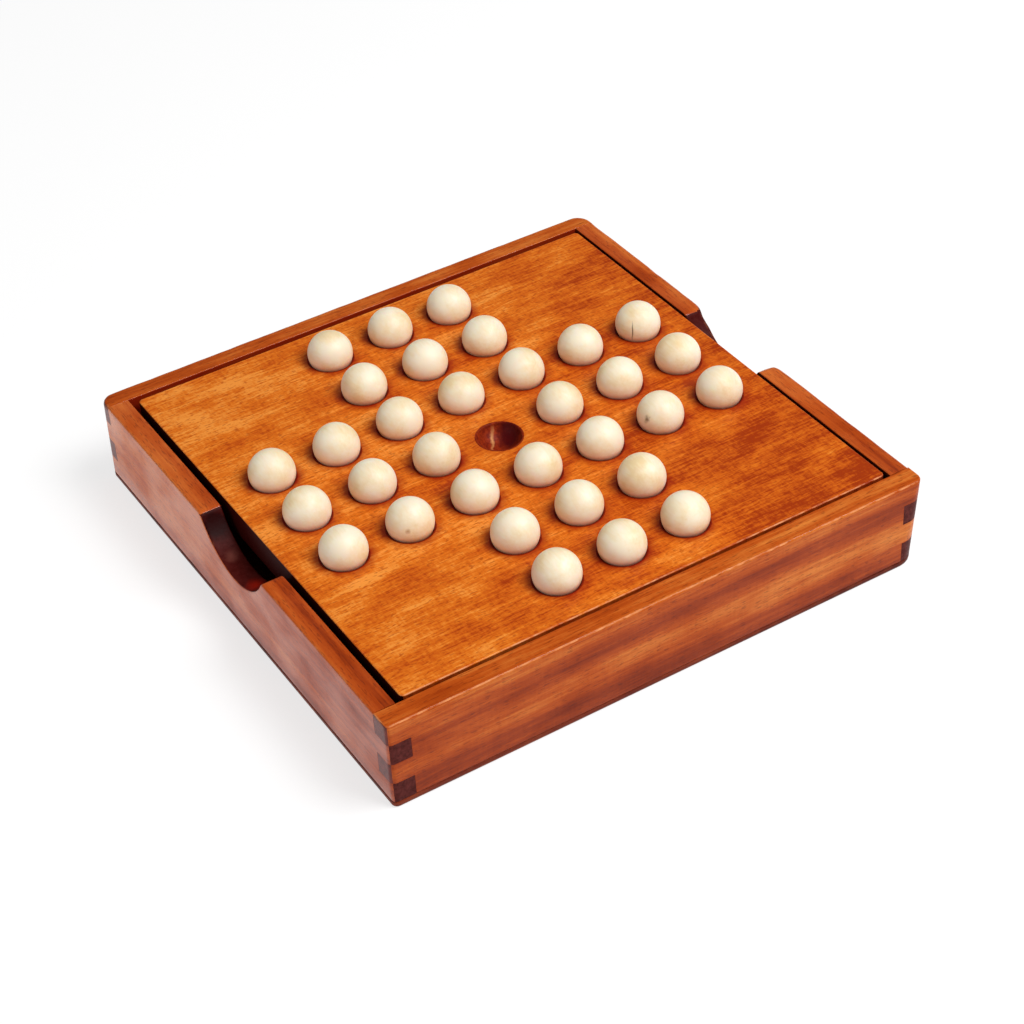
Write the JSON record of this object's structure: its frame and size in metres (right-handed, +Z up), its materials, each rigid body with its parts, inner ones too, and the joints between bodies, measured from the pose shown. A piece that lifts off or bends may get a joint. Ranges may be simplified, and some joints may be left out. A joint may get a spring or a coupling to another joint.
{
  "type": "peg solitaire board",
  "caption": "Square finger-jointed wooden box with a drop-in solitaire board, round sockets in a cross, an empty middle socket and loose balls.",
  "frame": {"origin": "centre of the underside of the base panel, on the surface the box stands on", "axes": "+Z up, +Y towards the plain back wall, +X towards the notched right wall; the box is square"},
  "size_m": [0.1502, 0.1502, 0.0335],
  "materials": {
    "wall_wood": "glossy red-brown stained lacquer",
    "base_wood": "dark stained, satin",
    "ledge_wood": "stained, satin",
    "board_wood": "glossy orange stained lacquer",
    "ball_wood": "pale cream, polished satin"
  },
  "bodies": {
    "box": {"front_wall": "wall_wood", "back_wall": "wall_wood", "left_wall": "wall_wood", "right_wall": "wall_wood", "base_panel": "base_wood", "front_ledge": "ledge_wood", "back_ledge": "ledge_wood"},
    "board": {"board_panel": "board_wood"},
    "ball_r1_c3": {"ball_r1_c3": "ball_wood"},
    "ball_r1_c4": {"ball_r1_c4": "ball_wood"},
    "ball_r1_c5": {"ball_r1_c5": "ball_wood"},
    "ball_r2_c3": {"ball_r2_c3": "ball_wood"},
    "ball_r2_c4": {"ball_r2_c4": "ball_wood"},
    "ball_r2_c5": {"ball_r2_c5": "ball_wood"},
    "ball_r3_c1": {"ball_r3_c1": "ball_wood"},
    "ball_r3_c2": {"ball_r3_c2": "ball_wood"},
    "ball_r3_c3": {"ball_r3_c3": "ball_wood"},
    "ball_r3_c4": {"ball_r3_c4": "ball_wood"},
    "ball_r3_c5": {"ball_r3_c5": "ball_wood"},
    "ball_r3_c6": {"ball_r3_c6": "ball_wood"},
    "ball_r3_c7": {"ball_r3_c7": "ball_wood"},
    "ball_r4_c1": {"ball_r4_c1": "ball_wood"},
    "ball_r4_c2": {"ball_r4_c2": "ball_wood"},
    "ball_r4_c3": {"ball_r4_c3": "ball_wood"},
    "ball_r4_c5": {"ball_r4_c5": "ball_wood"},
    "ball_r4_c6": {"ball_r4_c6": "ball_wood"},
    "ball_r4_c7": {"ball_r4_c7": "ball_wood"},
    "ball_r5_c1": {"ball_r5_c1": "ball_wood"},
    "ball_r5_c2": {"ball_r5_c2": "ball_wood"},
    "ball_r5_c3": {"ball_r5_c3": "ball_wood"},
    "ball_r5_c4": {"ball_r5_c4": "ball_wood"},
    "ball_r5_c5": {"ball_r5_c5": "ball_wood"},
    "ball_r5_c6": {"ball_r5_c6": "ball_wood"},
    "ball_r5_c7": {"ball_r5_c7": "ball_wood"},
    "ball_r6_c3": {"ball_r6_c3": "ball_wood"},
    "ball_r6_c4": {"ball_r6_c4": "ball_wood"},
    "ball_r6_c5": {"ball_r6_c5": "ball_wood"},
    "ball_r7_c3": {"ball_r7_c3": "ball_wood"},
    "ball_r7_c4": {"ball_r7_c4": "ball_wood"},
    "ball_r7_c5": {"ball_r7_c5": "ball_wood"}
  },
  "joints": [
    {"name": "board_lift", "type": "slide", "parent": "box", "child": "board", "axis": [0, 0, 1], "range_m": [0, 0.04]},
    {"name": "ball_r1_c3_lift", "type": "slide", "parent": "board", "child": "ball_r1_c3", "axis": [0, 0, 1], "range_m": [0, 0.03]},
    {"name": "ball_r1_c4_lift", "type": "slide", "parent": "board", "child": "ball_r1_c4", "axis": [0, 0, 1], "range_m": [0, 0.03]},
    {"name": "ball_r1_c5_lift", "type": "slide", "parent": "board", "child": "ball_r1_c5", "axis": [0, 0, 1], "range_m": [0, 0.03]},
    {"name": "ball_r2_c3_lift", "type": "slide", "parent": "board", "child": "ball_r2_c3", "axis": [0, 0, 1], "range_m": [0, 0.03]},
    {"name": "ball_r2_c4_lift", "type": "slide", "parent": "board", "child": "ball_r2_c4", "axis": [0, 0, 1], "range_m": [0, 0.03]},
    {"name": "ball_r2_c5_lift", "type": "slide", "parent": "board", "child": "ball_r2_c5", "axis": [0, 0, 1], "range_m": [0, 0.03]},
    {"name": "ball_r3_c1_lift", "type": "slide", "parent": "board", "child": "ball_r3_c1", "axis": [0, 0, 1], "range_m": [0, 0.03]},
    {"name": "ball_r3_c2_lift", "type": "slide", "parent": "board", "child": "ball_r3_c2", "axis": [0, 0, 1], "range_m": [0, 0.03]},
    {"name": "ball_r3_c3_lift", "type": "slide", "parent": "board", "child": "ball_r3_c3", "axis": [0, 0, 1], "range_m": [0, 0.03]},
    {"name": "ball_r3_c4_lift", "type": "slide", "parent": "board", "child": "ball_r3_c4", "axis": [0, 0, 1], "range_m": [0, 0.03]},
    {"name": "ball_r3_c5_lift", "type": "slide", "parent": "board", "child": "ball_r3_c5", "axis": [0, 0, 1], "range_m": [0, 0.03]},
    {"name": "ball_r3_c6_lift", "type": "slide", "parent": "board", "child": "ball_r3_c6", "axis": [0, 0, 1], "range_m": [0, 0.03]},
    {"name": "ball_r3_c7_lift", "type": "slide", "parent": "board", "child": "ball_r3_c7", "axis": [0, 0, 1], "range_m": [0, 0.03]},
    {"name": "ball_r4_c1_lift", "type": "slide", "parent": "board", "child": "ball_r4_c1", "axis": [0, 0, 1], "range_m": [0, 0.03]},
    {"name": "ball_r4_c2_lift", "type": "slide", "parent": "board", "child": "ball_r4_c2", "axis": [0, 0, 1], "range_m": [0, 0.03]},
    {"name": "ball_r4_c3_lift", "type": "slide", "parent": "board", "child": "ball_r4_c3", "axis": [0, 0, 1], "range_m": [0, 0.03]},
    {"name": "ball_r4_c5_lift", "type": "slide", "parent": "board", "child": "ball_r4_c5", "axis": [0, 0, 1], "range_m": [0, 0.03]},
    {"name": "ball_r4_c6_lift", "type": "slide", "parent": "board", "child": "ball_r4_c6", "axis": [0, 0, 1], "range_m": [0, 0.03]},
    {"name": "ball_r4_c7_lift", "type": "slide", "parent": "board", "child": "ball_r4_c7", "axis": [0, 0, 1], "range_m": [0, 0.03]},
    {"name": "ball_r5_c1_lift", "type": "slide", "parent": "board", "child": "ball_r5_c1", "axis": [0, 0, 1], "range_m": [0, 0.03]},
    {"name": "ball_r5_c2_lift", "type": "slide", "parent": "board", "child": "ball_r5_c2", "axis": [0, 0, 1], "range_m": [0, 0.03]},
    {"name": "ball_r5_c3_lift", "type": "slide", "parent": "board", "child": "ball_r5_c3", "axis": [0, 0, 1], "range_m": [0, 0.03]},
    {"name": "ball_r5_c4_lift", "type": "slide", "parent": "board", "child": "ball_r5_c4", "axis": [0, 0, 1], "range_m": [0, 0.03]},
    {"name": "ball_r5_c5_lift", "type": "slide", "parent": "board", "child": "ball_r5_c5", "axis": [0, 0, 1], "range_m": [0, 0.03]},
    {"name": "ball_r5_c6_lift", "type": "slide", "parent": "board", "child": "ball_r5_c6", "axis": [0, 0, 1], "range_m": [0, 0.03]},
    {"name": "ball_r5_c7_lift", "type": "slide", "parent": "board", "child": "ball_r5_c7", "axis": [0, 0, 1], "range_m": [0, 0.03]},
    {"name": "ball_r6_c3_lift", "type": "slide", "parent": "board", "child": "ball_r6_c3", "axis": [0, 0, 1], "range_m": [0, 0.03]},
    {"name": "ball_r6_c4_lift", "type": "slide", "parent": "board", "child": "ball_r6_c4", "axis": [0, 0, 1], "range_m": [0, 0.03]},
    {"name": "ball_r6_c5_lift", "type": "slide", "parent": "board", "child": "ball_r6_c5", "axis": [0, 0, 1], "range_m": [0, 0.03]},
    {"name": "ball_r7_c3_lift", "type": "slide", "parent": "board", "child": "ball_r7_c3", "axis": [0, 0, 1], "range_m": [0, 0.03]},
    {"name": "ball_r7_c4_lift", "type": "slide", "parent": "board", "child": "ball_r7_c4", "axis": [0, 0, 1], "range_m": [0, 0.03]},
    {"name": "ball_r7_c5_lift", "type": "slide", "parent": "board", "child": "ball_r7_c5", "axis": [0, 0, 1], "range_m": [0, 0.03]}
  ]
}
